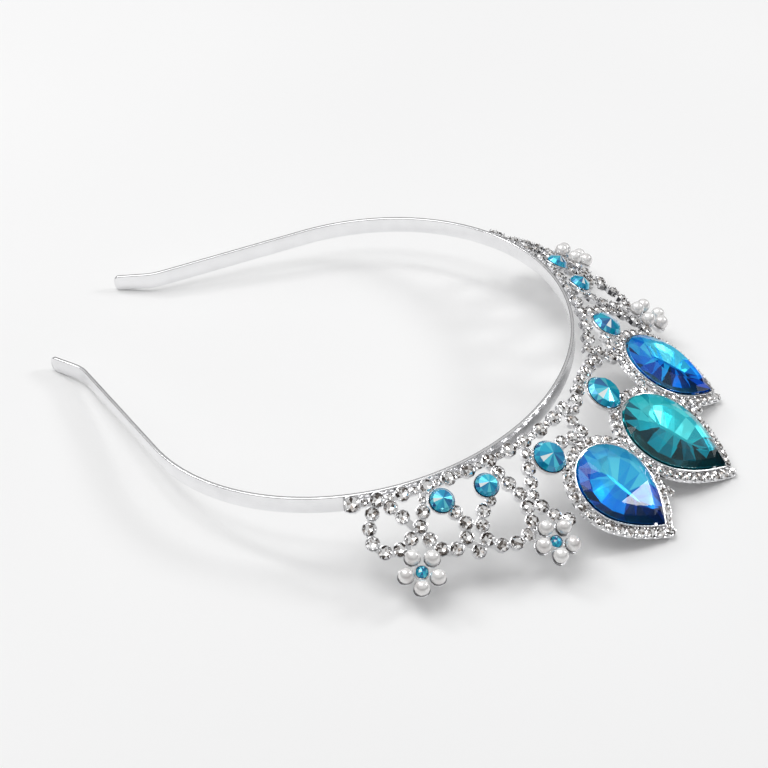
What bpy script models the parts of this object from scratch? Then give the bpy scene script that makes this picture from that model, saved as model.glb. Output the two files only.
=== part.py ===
"""A tiara: a springy horseshoe headband that carries a fan of openwork set with stones and pearls.

Every length is in metres. The band lies in its own plane, the ornament fans outwards and down
from the band's top edge, and at the end the whole piece is tilted until it rests on its two
band tips and on the tips of its pear settings.
"""

import math

import bmesh
import bpy
import numpy as np
from mathutils import Matrix, Vector

# Headband: a flat strip on edge, bent to a horseshoe.
band_half_width = 0.065
band_front_depth = 0.0603
band_back_radius = 0.055
band_back_turn = math.radians(39)
band_arm_length = 0.0436
band_bend_radius = 0.0120
band_tip_length = 0.0091
band_tip_turn = math.radians(23)
band_height = 0.0047
band_thickness = 0.0010
band_step = 0.0050

# Fan: the cone that the ornament lies on. Places on it are given along the band and outwards.
fan_angle = math.radians(34.4)
fan_angle_gain = math.radians(2.0)
fan_drop = 0.0006
row_reach = 0.0770
fan_depth = 0.0500

# Metalwork
metal_thickness = 0.0010
strand_width = 0.0023
row_width = 0.0035
solder_overlap = 0.00025
path_steps = 12
slope_reach = 0.0005
sharpest_mitre = 0.6
layer_step = 0.00007  # crossing bars differ by this in height, so soldered faces never coincide
wall = 0.00045
gap = 0.0003
cup_height = 0.0007
crown_height = 0.00045
table_share = 0.55
cup_sides = 6
cup_foot_share = 0.62
cup_foot_depth = 0.00055

# Small clear stones in their cups
row_cup_radius = 0.00165
end_cup_radius = 0.00190
strand_cup_radius = 0.00140
strand_pitch = 0.0038
halo_stone_radius = 0.00125
halo_width = 0.0030
halo_pitch = 0.0030
strand_room = 0.72  # nearest two strand cups may be, as a share of their pitch
halo_room = 0.85
arch_room = 1.6
wall_room = 0.8

# Large stones
centre_pear_width = 0.0240
centre_pear_length = 0.0300
centre_pear_lift = math.radians(4.4)
side_pear_width = 0.0214
side_pear_length = 0.0265
side_pear_turn = math.radians(3.5)
pear_tip_angle = math.radians(53)
pear_height = 0.0040
pear_foot_share = 0.80
pear_table_share = 0.60
pear_floor = 0.0002
pear_rim = 0.0012
pear_sides = 7
rivoli_height = 0.0032
rivoli_sides = 10
round_foot_share = 0.82
rivoli_table_share = 0.16
girdle_low = 0.26  # heights of the girdle's two edges, as shares of a stone's height
girdle_high = 0.37

# Flowers
pearl_diameter = 0.0040
pearl_ring = 0.0041
pearl_sides = 10
pearl_rings = 5
pearl_cup_radius = 0.0021
lobe_points = 6
lobe_half_turn = math.radians(118)
flower_stone_radius = 0.0015
flower_stone_height = 0.0016
flower_stone_sides = 8
flower_table_share = 0.5
petals = 5

# The leaves stand off the centre stone, so their places along follow its width.
leaf_reach = centre_pear_width / row_reach

# Places on the fan, as shares of row_reach (along) and of fan_depth (out).
row_seats = [
    dict(along=0.98, out=0.036),
    dict(along=0.90, out=0.036),
    dict(along=0.82, out=0.036),
    dict(along=0.74, out=0.036),
    dict(along=0.665, out=0.036),
    dict(along=0.595, out=0.040),
    dict(along=0.515, out=0.046),
    dict(along=0.435, out=0.056),
    dict(along=0.370, out=0.066),
    dict(along=0.295, out=0.076),
    dict(along=0.220, out=0.084),
    dict(along=0.160, out=0.092),
]
arch_seats = [
    dict(along=0.135, out=0.150),
    dict(along=0.080, out=0.112),
    dict(along=0.0, out=0.098),
]
strands = {
    "outer_loop": [
        dict(along=0.907, out=0.060),
        dict(along=0.926, out=0.108),
        dict(along=0.940, out=0.182),
        dict(along=0.934, out=0.258),
        dict(along=0.903, out=0.306),
        dict(along=0.870, out=0.304),
        dict(along=0.844, out=0.276),
        dict(along=0.813, out=0.240),
        dict(along=0.790, out=0.196),
        dict(along=0.774, out=0.128),
        dict(along=0.760, out=0.060),
    ],
    "middle_loop": [
        dict(along=0.877, out=0.064),
        dict(along=0.860, out=0.098),
        dict(along=0.835, out=0.158),
        dict(along=0.817, out=0.208),
        dict(along=0.796, out=0.252),
        dict(along=0.787, out=0.292),
        dict(along=0.773, out=0.340),
        dict(along=0.745, out=0.382),
        dict(along=0.701, out=0.358),
        dict(along=0.678, out=0.288),
        dict(along=0.687, out=0.222),
        dict(along=0.700, out=0.186),
    ],
    "inner_loop": [
        dict(along=0.525, out=0.064),
        dict(along=0.512, out=0.140),
        dict(along=0.504, out=0.216),
        dict(along=0.496, out=0.294),
        dict(along=0.508, out=0.382),
        dict(along=0.526, out=0.442),
        dict(along=0.561, out=0.474),
        dict(along=0.608, out=0.458),
        dict(along=0.644, out=0.406),
        dict(along=0.640, out=0.318),
        dict(along=0.616, out=0.254),
        dict(along=0.583, out=0.226),
    ],
    "branch": [
        dict(along=0.375, out=0.084),
        dict(along=0.400, out=0.140),
        dict(along=0.426, out=0.200),
        dict(along=0.453, out=0.270),
        dict(along=0.469, out=0.338),
        dict(along=0.462, out=0.410),
        dict(along=0.447, out=0.472),
        dict(along=0.416, out=0.532),
    ],
    "drop": [
        dict(along=0.700, out=0.360),
        dict(along=0.677, out=0.405),
        dict(along=0.686, out=0.460),
    ],
    "bow": [
        dict(along=0.160, out=0.092),
        dict(along=0.180, out=0.162),
        dict(along=0.178, out=0.228),
        dict(along=0.214, out=0.230),
        dict(along=0.257, out=0.202),
        dict(along=0.300, out=0.186),
    ],
    "leaf": [
        dict(along=0.41708 * leaf_reach, out=0.640),
        dict(along=0.46842 * leaf_reach, out=0.715),
        dict(along=0.51333 * leaf_reach, out=0.785),
    ],
}
links = [
    [dict(along=0.845, out=0.280), dict(along=0.855, out=0.370)],
    [dict(along=0.790, out=0.290), dict(along=0.806, out=0.395)],
    [dict(along=0.648, out=0.400), dict(along=0.680, out=0.415)],
    [dict(along=0.178, out=0.228), dict(along=0.222, out=0.300)],
    [dict(along=0.160, out=0.092), dict(along=0.135, out=0.150)],
    [dict(along=0.524, out=0.440), dict(along=0.510, out=0.510)],
    [dict(along=0.447, out=0.465), dict(along=0.470, out=0.540)],
]
rivolis = {
    "round_stone_centre": dict(along=0.0, out=0.234, diameter=0.0098),
    "round_stone_inner": dict(along=0.344, out=0.210, diameter=0.0086),
    "round_stone_middle": dict(along=0.570, out=0.151, diameter=0.0060),
    "round_stone_outer": dict(along=0.715, out=0.130, diameter=0.0060),
}
pears = {
    "pear_stone_centre": dict(
        along=0.0,
        out=0.370,
        width=centre_pear_width,
        length=centre_pear_length,
        lift=centre_pear_lift,
        turn=0.0,
    ),
    "pear_stone_side": dict(
        along=0.2545,
        out=0.319,
        width=side_pear_width,
        length=side_pear_length,
        lift=0.0,
        turn=side_pear_turn,
    ),
}
flowers = {
    "inner_flower": dict(along=0.496, out=0.566, turn=math.radians(27)),
    "outer_flower": dict(along=0.832, out=0.438, turn=math.radians(17)),
}


def clear_scene():
    for obj in list(bpy.data.objects):
        bpy.data.objects.remove(obj, do_unlink=True)


def material(name, colour, roughness, metallic=0.0, transmission=0.0):
    made = bpy.data.materials.new(name)
    made.use_nodes = True
    shader = made.node_tree.nodes["Principled BSDF"]
    shader.inputs["Base Color"].default_value = (*colour, 1.0)
    shader.inputs["Roughness"].default_value = roughness
    shader.inputs["Metallic"].default_value = metallic
    shader.inputs["Transmission Weight"].default_value = transmission
    return made


def band_curve():
    """Plan of the band's outer face from the front centre to one tip: (length along, points)."""
    angle = np.linspace(0, math.pi / 2, 200)
    front = np.stack(
        [band_half_width * np.sin(angle), band_front_depth * (1 - np.cos(angle))], 1
    )
    angle = np.linspace(0, band_back_turn, 60)[1:]
    back = front[-1] + band_back_radius * np.stack(
        [np.cos(angle) - 1, np.sin(angle)], 1
    )
    run = np.linspace(0, 1, 30)[1:, None]
    heading = np.array([-math.sin(band_back_turn), math.cos(band_back_turn)])
    arm = back[-1] + run * band_arm_length * heading
    turned = band_back_turn - band_tip_turn
    angle = np.linspace(band_back_turn, turned, 20)[1:]
    bend = arm[-1] + band_bend_radius * np.stack(
        [
            math.cos(band_back_turn) - np.cos(angle),
            math.sin(band_back_turn) - np.sin(angle),
        ],
        1,
    )
    tip = bend[-1] + run * band_tip_length * np.array(
        [-math.sin(turned), math.cos(turned)]
    )
    points = np.concatenate([front, back, arm, bend, tip])
    steps = np.hypot(*np.diff(points, axis=0).T)
    return np.concatenate([[0], np.cumsum(steps)]), points


curve_length, curve_points = band_curve()


def on_band(along):
    """Point and outward direction of the band at a length from the front centre, either side."""
    side = -1.0 if along < 0 else 1.0
    reach = abs(along) + slope_reach * np.array([-1, 1])
    reach = np.clip(reach, 0, curve_length[-1])
    before, after = [
        np.array([np.interp(r, curve_length, curve_points[:, k]) for k in (0, 1)])
        for r in reach
    ]
    point = np.array(
        [np.interp(abs(along), curve_length, curve_points[:, k]) for k in (0, 1)]
    )
    tangent = (after - before) / np.linalg.norm(after - before)
    if along == 0:
        tangent = np.array([1.0, 0.0])
    return Vector((side * point[0], point[1], 0)), Vector(
        (side * tangent[1], -tangent[0], 0)
    )


def fan_frame(along, out):
    """Frame on the fan: X along the band, Y outwards down the fan, Z the fan's upper side."""
    point, outward = on_band(along)
    share = abs(along) / row_reach
    angle = fan_angle + fan_angle_gain * share**2
    down = outward * math.cos(angle) - Vector((0, 0, math.sin(angle)))
    up = outward * math.sin(angle) + Vector((0, 0, math.cos(angle)))
    place = point + down * out - Vector((0, 0, fan_drop))
    sideways = down.cross(up)
    frame = Matrix((sideways, down, up)).transposed().to_4x4()
    frame.translation = place
    return frame


def place(row, side=1):
    return side * row["along"] * row_reach, row["out"] * fan_depth


def smooth_path(points):
    """A Catmull-Rom curve through fan places."""
    points = np.array(points)
    ends = np.concatenate([[2 * points[0] - points[1]], points, [2 * points[-1] - points[-2]]])
    fine = []
    for k in range(len(points) - 1):
        a, b, c, d = ends[k : k + 4]
        t = np.linspace(0, 1, path_steps, endpoint=False)[:, None]
        fine.append(
            0.5
            * (
                2 * b
                + (c - a) * t
                + (2 * a - 5 * b + 4 * c - d) * t**2
                + (3 * b - a - 3 * c + d) * t**3
            )
        )
    return np.concatenate(fine + [points[-1:]])


def along_path(points, shares):
    """Places at given shares of the length of a path on the fan."""
    solid = np.array([fan_frame(*p).translation for p in points])
    run = np.concatenate([[0], np.cumsum(np.linalg.norm(np.diff(solid, axis=0), axis=1))])
    where = np.asarray(shares) * run[-1]
    return np.stack([np.interp(where, run, points[:, k]) for k in (0, 1)], 1)


def path_length(points):
    solid = np.array([fan_frame(*p).translation for p in points])
    return np.linalg.norm(np.diff(solid, axis=0), axis=1).sum()


def seat_shares(points, pitch):
    """Shares of a path's length at which its stones sit, about one pitch apart."""
    count = max(2, round(path_length(points) / pitch) + 1)
    return np.linspace(0, 1, count)


def joint_shares(seats):
    """Both ends of a bar and the middle between each two stones: no stone sits on a bend."""
    middles = (seats[:-1] + seats[1:]) / 2
    return np.concatenate([seats[:1], middles, seats[-1:]])


def strand_bar(mesh, points, top, bottom):
    path = smooth_path(points)
    joints = joint_shares(seat_shares(path, strand_pitch))
    bar(mesh, along_path(path, joints), strand_width, top, bottom)


def solid_from_rings(mesh, rings, closed=False):
    """Skins a list of equal point rings, with flat caps at the ends unless it closes on itself."""
    rows = [[mesh.verts.new(p) for p in ring] for ring in rings]
    count = len(rows[0])
    pairs = list(zip(rows[:-1], rows[1:]))
    if closed:
        pairs.append((rows[-1], rows[0]))
    for lower, upper in pairs:
        for k in range(count):
            m = (k + 1) % count
            mesh.faces.new((lower[k], lower[m], upper[m], upper[k]))
    if not closed:
        mesh.faces.new(rows[0][::-1])
        mesh.faces.new(rows[-1])


def bar_ring(behind, centre, ahead, up, width, top, bottom):
    """The mitred section of a flat bar at a joint between two of its runs."""
    into = (centre - behind).normalized()
    onward = (ahead - centre).normalized()
    run = (into + onward).normalized()
    across = up.cross(run).normalized()
    mitre = max(sharpest_mitre, run.dot(onward if onward.length else into))
    reach = across * (width / 2 / mitre)
    return [
        centre + reach + up * top,
        centre - reach + up * top,
        centre - reach + up * bottom,
        centre + reach + up * bottom,
    ]


def bar(mesh, places, width, top, bottom):
    """A flat bar that follows places on the fan."""
    frames = [fan_frame(*p) for p in places]
    centres = [f.translation for f in frames]
    last = len(centres) - 1
    rings = []
    for k, frame in enumerate(frames):
        behind, ahead = centres[max(k - 1, 0)], centres[min(k + 1, last)]
        up = frame.col[2].to_3d()
        rings.append(bar_ring(behind, centres[k], ahead, up, width, top, bottom))
    solid_from_rings(mesh, rings)


def disc(radius, sides, height):
    return [
        Vector((radius * math.cos(a), radius * math.sin(a), height))
        for a in (math.tau * k / sides for k in range(sides))
    ]


def stack(mesh, frame, layers):
    """A solid from outlines stacked from bottom to top in a local frame."""
    solid_from_rings(mesh, [[frame @ p for p in layer] for layer in layers])


def seat(mesh, frame, radius):
    """A round cup with its clear stone: a girdle wider than its foot, and a smaller table."""
    frame = frame @ Matrix.Rotation(math.pi / cup_sides, 4, "Z")
    cut_stone(
        mesh,
        frame,
        disc(radius * cup_foot_share, cup_sides, -cup_foot_depth),
        disc(radius, cup_sides, cup_height),
        disc(radius * table_share, cup_sides // 2, cup_height + crown_height),
    )


def flush_stone(mesh, frame, radius):
    """A clear stone set flush in a bar: only its crown and table stand out of the metal."""
    frame = frame @ Matrix.Rotation(math.pi / cup_sides, 4, "Z")
    cut_stone(
        mesh,
        frame,
        disc(radius * cup_foot_share, cup_sides, cup_height - cup_foot_depth),
        disc(radius, cup_sides, cup_height + layer_step),
        disc(radius * table_share, cup_sides // 2, cup_height + crown_height),
    )


def cut_stone(mesh, frame, low, rim, table):
    """Foot, girdle and table, with crown facets between the girdle and a table of half its sides."""
    rows = [[mesh.verts.new(frame @ p) for p in ring] for ring in (low, rim)]
    table = [mesh.verts.new(frame @ p) for p in table]
    for k in range(cup_sides):
        m = (k + 1) % cup_sides
        mesh.faces.new((rows[0][k], rows[0][m], rows[1][m], rows[1][k]))
    for k in range(cup_sides // 2):
        here, after = table[k], table[(k + 1) % len(table)]
        left, middle, right = (rows[1][(2 * k + j) % cup_sides] for j in (0, 1, 2))
        mesh.faces.new((left, middle, here))
        mesh.faces.new((here, middle, after))
        mesh.faces.new((middle, right, after))
    mesh.faces.new(rows[0][::-1])
    mesh.faces.new(table)


def pear_outline(width, length, spread, height):
    """A drop outline about the centre of its round end, tip towards +Y, grown by spread."""
    radius = width / 2 + spread
    tip = length - width / 2 + spread / math.sin(pear_tip_angle)
    shoulder = max(tip - radius / math.tan(pear_tip_angle), 0.0)
    half = []
    for k in range(1, pear_sides + 1):
        t = 1 - k / pear_sides
        half.append(
            (
                radius * (t * t + 2 * t * (1 - t)),
                shoulder * 2 * t * (1 - t) + tip * (1 - t) ** 2,
            )
        )
    flank = [(x, y) for x, y in half[:-1]]
    round_end = [
        (radius * math.cos(a), radius * math.sin(a))
        for a in (-math.pi + math.pi * k / pear_sides for k in range(pear_sides + 1))
    ]
    outline = round_end + flank + [(0.0, tip)] + [(-x, y) for x, y in flank[::-1]]
    return [Vector((x, y, height)) for x, y in outline]


def row_level(row):
    """The centre halo is raised a little, so its bar never coincides with its neighbours'."""
    return layer_step if row["along"] == 0 else 0.0


def pear_frame(row, side=1):
    """The pear's frame: its origin is the centre of the stone's round end."""
    along, out = place(row, side)
    frame = fan_frame(along, out + row["width"] / 2)
    turn = Matrix.Rotation(-side * row["turn"], 4, "Z")
    return frame @ turn @ Matrix.Rotation(row["lift"], 4, "X")


def halo_path(row, side):
    """Fan places round the pear setting, half a cup outside its wall, starting at the tip."""
    along, out = place(row, side)
    spread = gap + wall + halo_width / 2 - layer_step
    outline = pear_outline(row["width"], row["length"], spread, 0.0)
    tip = max(range(len(outline)), key=lambda k: outline[k].y)
    outline = outline[tip:] + outline[:tip]
    frame = pear_frame(row, side)
    return [frame @ p for p in outline]


def loop_bar(mesh, frame, points, width, top, bottom):
    """A flat bar round a closed run of points in one plane."""
    up = frame.col[2].to_3d()
    rings = []
    for k, point in enumerate(points):
        behind, ahead = points[k - 1], points[(k + 1) % len(points)]
        rings.append(bar_ring(behind, point, ahead, up, width, top, bottom))
    solid_from_rings(mesh, rings, closed=True)


def even_loop(points, pitch):
    """Even points round a closed run in space, the first one kept."""
    path = np.array([list(p) for p in points] + [list(points[0])])
    run = np.concatenate([[0], np.cumsum(np.linalg.norm(np.diff(path, axis=0), axis=1))])
    count = max(3, round(run[-1] / pitch))
    where = np.linspace(0, run[-1], count, endpoint=False)
    return [
        Vector([np.interp(w, run, path[:, k]) for k in range(3)]) for w in where
    ]


def middles(points):
    """The middle between each two neighbours of a closed run of points."""
    return [(p + points[k - 1]) / 2 for k, p in enumerate(points)]


def add_seats(mesh, taken, spots, radius, room, setting=seat):
    """Seats at each spot that no earlier seat has taken."""
    for frame in spots:
        centre = frame.translation
        if any((centre - other).length < room for other in taken):
            continue
        taken.append(centre.copy())
        setting(mesh, frame, radius)


def finish_object(name, mesh, material_used, smooth_angle=None):
    bmesh.ops.recalc_face_normals(mesh, faces=mesh.faces)
    data = bpy.data.meshes.new(name)
    mesh.to_mesh(data)
    mesh.free()
    obj = bpy.data.objects.new(name, data)
    bpy.context.scene.collection.objects.link(obj)
    data.materials.append(material_used)
    if smooth_angle:
        data.shade_smooth()
        data.set_sharp_from_angle(angle=smooth_angle)
    return obj


def build_band(mesh):
    """The strip on edge, with rounded ends: its section is stood up along the whole horseshoe."""
    reach = curve_length[-1]
    corner = band_height / 3
    inner = np.linspace(-reach + corner, reach - corner, round(2 * reach / band_step) | 1)
    stations = [(-reach, corner)] + [(s, 0.0) for s in inner] + [(reach, corner)]
    rings = []
    for along, cut in stations:
        point, outward = on_band(along)
        low, high = -band_height + cut, -cut
        rings.append(
            [
                point + Vector((0, 0, high)),
                point + Vector((0, 0, low)),
                point - outward * band_thickness + Vector((0, 0, low)),
                point - outward * band_thickness + Vector((0, 0, high)),
            ]
        )
    solid_from_rings(mesh, rings)


def build_bars(mesh):
    """Every flat bar of the openwork."""
    soldered = row_width / 2 - solder_overlap
    for side in (1, -1):
        row = [place(r, side) for r in row_seats]
        row = np.array([(along, max(out, soldered)) for along, out in row])
        joints = np.concatenate([row[:1], (row[:-1] + row[1:]) / 2, row[-1:]])
        joints[0, 0] += side * end_cup_radius
        bar(mesh, joints, row_width, 0.0, -metal_thickness)
        for level, points in enumerate(list(strands.values()) + links):
            sunk = layer_step * (level + 2)
            points = [place(p, side) for p in points]
            strand_bar(mesh, points, -sunk, sunk / 2 - metal_thickness)
    arch = [place(p) for p in arch_seats]
    arch = arch + [(-along, out) for along, out in arch[-2::-1]]
    strand_bar(mesh, arch, -layer_step, layer_step - metal_thickness)


def sides_of(row):
    return (1,) if row["along"] == 0 else (1, -1)


def build_settings(mesh):
    """Wells for the pear stones with their halo bars, wells for the round stones, flower plates."""
    for row in pears.values():
        for side in sides_of(row):
            frame = pear_frame(row, side)
            well = [
                pear_outline(row["width"], row["length"], gap + wall, h)
                for h in (-metal_thickness - layer_step, pear_rim)
            ]
            stack(mesh, frame, well)
            halo = middles(even_loop(halo_path(row, side), halo_pitch))
            low = -metal_thickness + row_level(row)
            loop_bar(mesh, frame, halo, halo_width, cup_height + row_level(row), low)
    for row in rivolis.values():
        for side in sides_of(row):
            radius = row["diameter"] / 2 + gap + wall
            frame = fan_frame(*place(row, side))
            stack(
                mesh,
                frame,
                [
                    disc(radius, rivoli_sides, h)
                    for h in (-metal_thickness - 2 * layer_step, cup_height + layer_step)
                ],
            )
    for row in flowers.values():
        for side in (1, -1):
            frame = fan_frame(*place(row, side))
            heights = (-metal_thickness - 3 * layer_step, -gap)
            stack(mesh, frame, [flower_outline(row, side, h) for h in heights])


def petal_angles(row, side):
    """Directions of the pearls in the flower's frame; the two sides mirror each other."""
    return [
        math.pi / 2 + side * (row["turn"] + math.tau * k / petals) for k in range(petals)
    ]


def petal_frames(row, side):
    frame = fan_frame(*place(row, side))
    for angle in petal_angles(row, side):
        offset = Vector((math.cos(angle), math.sin(angle), 0)) * pearl_ring
        yield frame @ Matrix.Translation(offset)


def flower_outline(row, side, height):
    """Round lobes, one under each pearl, that meet near the flower's middle."""
    outline = []
    for angle in sorted(a % math.tau for a in petal_angles(row, side)):
        centre = Vector((math.cos(angle), math.sin(angle), 0)) * pearl_ring
        for k in range(lobe_points):
            swing = angle + lobe_half_turn * (2 * k / (lobe_points - 1) - 1)
            edge = Vector((math.cos(swing), math.sin(swing), 0)) * pearl_cup_radius
            outline.append(centre + edge + Vector((0, 0, height)))
    return outline


def build_seats(mesh):
    """Every small clear stone in its cup."""
    taken = []
    soldered = row_width / 2 - solder_overlap
    clear_of = [
        (fan_frame(*place(r, s)).translation, r["diameter"] / 2 + gap + wall)
        for r in rivolis.values()
        for s in sides_of(r)
    ]
    for side in (1, -1):
        for k, row in enumerate(row_seats):
            along, out = place(row, side)
            radius = end_cup_radius if k == 0 else row_cup_radius
            spot = fan_frame(along, max(out, soldered))
            add_seats(mesh, taken, [spot], radius, radius)
    for row in arch_seats:
        for side in sides_of(row):
            spot = fan_frame(*place(row, side))
            add_seats(mesh, taken, [spot], strand_cup_radius, strand_cup_radius * arch_room)
    for row in pears.values():
        for side in sides_of(row):
            frame = pear_frame(row, side)
            spots = []
            for point in even_loop(halo_path(row, side), halo_pitch):
                spot = frame.copy()
                spot.translation = point
                spots.append(spot)
            add_seats(
                mesh, taken, spots, halo_stone_radius, halo_pitch * halo_room, flush_stone
            )
    for side in (1, -1):
        for points in strands.values():
            path = smooth_path([place(p, side) for p in points])
            places = along_path(path, seat_shares(path, strand_pitch))
            spots = [fan_frame(*p) for p in places]
            spots = [
                s
                for s in spots
                if all(
                    (s.translation - c).length > r + strand_cup_radius * wall_room
                    for c, r in clear_of
                )
            ]
            add_seats(mesh, taken, spots, strand_cup_radius, strand_pitch * strand_room)


def union(base, tool, self_overlap=False):
    change = base.modifiers.new("union", "BOOLEAN")
    change.operation = "UNION"
    change.solver = "EXACT"
    change.use_self = self_overlap
    change.object = tool
    tool.hide_render = True
    tool.display_type = "WIRE"
    return change


def build_frame(metal):
    """Band, openwork, wells and cups as one soldered body."""
    shapes = []
    for name, builder in (
        ("band_shape", build_band),
        ("bars_shape", build_bars),
        ("settings_shape", build_settings),
        ("seats_shape", build_seats),
    ):
        mesh = bmesh.new()
        builder(mesh)
        shapes.append(finish_object(name, mesh, metal))
    body = shapes[0]
    body.name = "tiara_frame"
    for tool in shapes[1:]:
        union(body, tool, self_overlap=True)
    mesh = bmesh.new()
    build_pockets(mesh)
    pockets = finish_object("stone_pockets", mesh, metal)
    cut = body.modifiers.new("pockets", "BOOLEAN")
    cut.operation = "DIFFERENCE"
    cut.solver = "EXACT"
    cut.object = pockets
    pockets.hide_render = True
    pockets.display_type = "WIRE"
    return body, shapes[1:] + [pockets]


def build_pockets(mesh):
    """Room for each large stone, one gap wider than the stone, open above."""
    high = pear_floor + pear_rim + pear_height
    for row in pears.values():
        for side in sides_of(row):
            layers = [
                pear_outline(row["width"], row["length"], gap, h)
                for h in (pear_floor - gap, high)
            ]
            stack(mesh, pear_frame(row, side), layers)
    for row in rivolis.values():
        for side in sides_of(row):
            radius = row["diameter"] / 2 + gap
            layers = [disc(radius, rivoli_sides, h) for h in (-gap, high)]
            stack(mesh, fan_frame(*place(row, side)), layers)


def grown(outline, share, height):
    return [Vector((p.x * share, p.y * share, height)) for p in outline]


def build_pear_stone(name, row, side, glass):
    """A drop-cut stone: narrower foot, thin girdle, sloping crown and a flat table."""
    outline = pear_outline(row["width"], row["length"], 0.0, 0.0)
    mesh = bmesh.new()
    layers = [
        grown(outline, pear_foot_share, pear_floor),
        grown(outline, 1.0, pear_floor + girdle_low * pear_height),
        grown(outline, 1.0, pear_floor + girdle_high * pear_height),
        grown(outline, pear_table_share, pear_floor + pear_height),
    ]
    stack(mesh, pear_frame(row, side), layers)
    return finish_object(name, mesh, glass)


def build_round_stone(name, frame, radius, height, sides, table, glass):
    """A round stone: girdle, many-sided cone and a small table."""
    mesh = bmesh.new()
    layers = [
        disc(radius * round_foot_share, sides, 0.0),
        disc(radius, sides, height * girdle_low),
        disc(radius, sides, height * girdle_high),
        disc(radius * table, sides, height),
    ]
    stack(mesh, frame, layers)
    return finish_object(name, mesh, glass)


def build_pearl(name, frame, nacre):
    mesh = bmesh.new()
    radius = pearl_diameter / 2
    bmesh.ops.create_uvsphere(
        mesh, u_segments=pearl_sides, v_segments=pearl_rings, radius=radius
    )
    lift = Matrix.Translation((0, 0, radius))
    bmesh.ops.transform(mesh, matrix=frame @ lift, verts=mesh.verts)
    return finish_object(name, mesh, nacre, smooth_angle=math.radians(60))


def side_name(name, row, side):
    return name if row["along"] == 0 else f"{name}_{'left' if side > 0 else 'right'}"


def build_stones(colours):
    made = []
    for name, row in pears.items():
        for side in sides_of(row):
            glass = colours["teal" if row["along"] == 0 else "blue"]
            made.append(build_pear_stone(side_name(name, row, side), row, side, glass))
    for name, row in rivolis.items():
        for side in sides_of(row):
            frame = fan_frame(*place(row, side))
            made.append(
                build_round_stone(
                    side_name(name, row, side),
                    frame,
                    row["diameter"] / 2,
                    rivoli_height,
                    rivoli_sides,
                    rivoli_table_share,
                    colours["aqua"],
                )
            )
    for name, row in flowers.items():
        for side in (1, -1):
            frame = fan_frame(*place(row, side))
            label = side_name(name, row, side)
            made.append(
                build_round_stone(
                    f"{label}_stone",
                    frame,
                    flower_stone_radius,
                    flower_stone_height,
                    flower_stone_sides,
                    flower_table_share,
                    colours["aqua"],
                )
            )
            for k, spot in enumerate(petal_frames(row, side)):
                made.append(build_pearl(f"{label}_pearl_{k + 1}", spot, colours["pearl"]))
    return made


def lowest(points, tilt):
    """Lowest heights in front of and behind the band's middle after a tilt about X."""
    height = points[:, 2] * math.cos(tilt) - points[:, 1] * math.sin(tilt)
    ahead = points[:, 1] < band_front_depth
    return height[ahead].min(), height[~ahead].min()


def resting_matrix(frame_points):
    """The tilt at which the front settings and the band tips stand on one floor."""
    low, high = math.radians(-30), math.radians(30)
    for _ in range(50):
        middle = (low + high) / 2
        front, back = lowest(frame_points, middle)
        if front < back:
            low = middle
        else:
            high = middle
    turn = Matrix.Rotation(-middle, 4, "X")
    points = frame_points @ np.array(turn.to_3x3()).T
    floor = points[:, 2].min()
    centre_y = (points[:, 1].min() + points[:, 1].max()) / 2
    return Matrix.Translation((0, -centre_y, -floor)) @ turn


def main():
    clear_scene()
    metal = material("silver", (0.86, 0.86, 0.87), 0.16, metallic=1.0)
    colours = {
        "teal": material("teal_glass", (0.02, 0.42, 0.47), 0.05, transmission=0.8),
        "blue": material("blue_glass", (0.02, 0.16, 0.55), 0.05, transmission=0.8),
        "aqua": material("aqua_glass", (0.05, 0.55, 0.68), 0.05, transmission=0.8),
        "pearl": material("pearl", (0.90, 0.88, 0.86), 0.22),
    }
    body, helpers = build_frame(metal)
    stones = build_stones(colours)
    graph = bpy.context.evaluated_depsgraph_get()
    shape = body.evaluated_get(graph).to_mesh()
    points = np.empty(len(shape.vertices) * 3)
    shape.vertices.foreach_get("co", points)
    rest = resting_matrix(points.reshape(-1, 3))
    for obj in [body] + helpers + stones:
        obj.matrix_world = rest


main()
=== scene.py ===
import math

import bpy
import numpy as np
from mathutils import Matrix


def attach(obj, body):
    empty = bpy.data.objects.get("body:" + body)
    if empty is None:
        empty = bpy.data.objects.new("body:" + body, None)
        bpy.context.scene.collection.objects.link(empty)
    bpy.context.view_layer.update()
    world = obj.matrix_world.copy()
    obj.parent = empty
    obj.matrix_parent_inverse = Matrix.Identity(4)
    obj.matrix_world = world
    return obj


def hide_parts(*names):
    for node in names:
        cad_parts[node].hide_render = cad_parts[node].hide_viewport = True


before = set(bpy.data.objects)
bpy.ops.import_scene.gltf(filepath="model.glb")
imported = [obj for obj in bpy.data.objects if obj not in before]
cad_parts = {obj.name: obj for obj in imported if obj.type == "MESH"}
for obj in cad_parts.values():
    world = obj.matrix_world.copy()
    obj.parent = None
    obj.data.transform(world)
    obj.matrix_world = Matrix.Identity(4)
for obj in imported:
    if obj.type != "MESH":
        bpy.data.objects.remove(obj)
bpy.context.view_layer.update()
scatter = np.random.default_rng(11)
print("tiara: solids loaded")

# How the piece lies: turned about X, then moved back and up. Lengths in metres, angles in degrees.
rest = {"tilt": 7.6328, "back": -0.046197, "rise": 0.023291}
fan = {"angle": 34.4, "gain": 2.0, "drop": 0.0006, "reach": 0.0770, "depth": 0.0500}
metal = {"thickness": 0.0010, "wall": 0.00045, "gap": 0.0003}


def grid(rows, columns, closeRows=False, closeColumns=True):
    # Faces of a grid of points numbered row by row; each face joins four neighbours.
    r = np.arange(rows if closeRows else rows - 1)[:, None]
    c = np.arange(columns if closeColumns else columns - 1)[None, :]
    nextRow, nextColumn = (r + 1) % rows, (c + 1) % columns
    corners = (r * columns + c, r * columns + nextColumn)
    far = (nextRow * columns + nextColumn, nextRow * columns + c)
    return np.stack([*corners, *far], -1).reshape(-1, 4)


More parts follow.
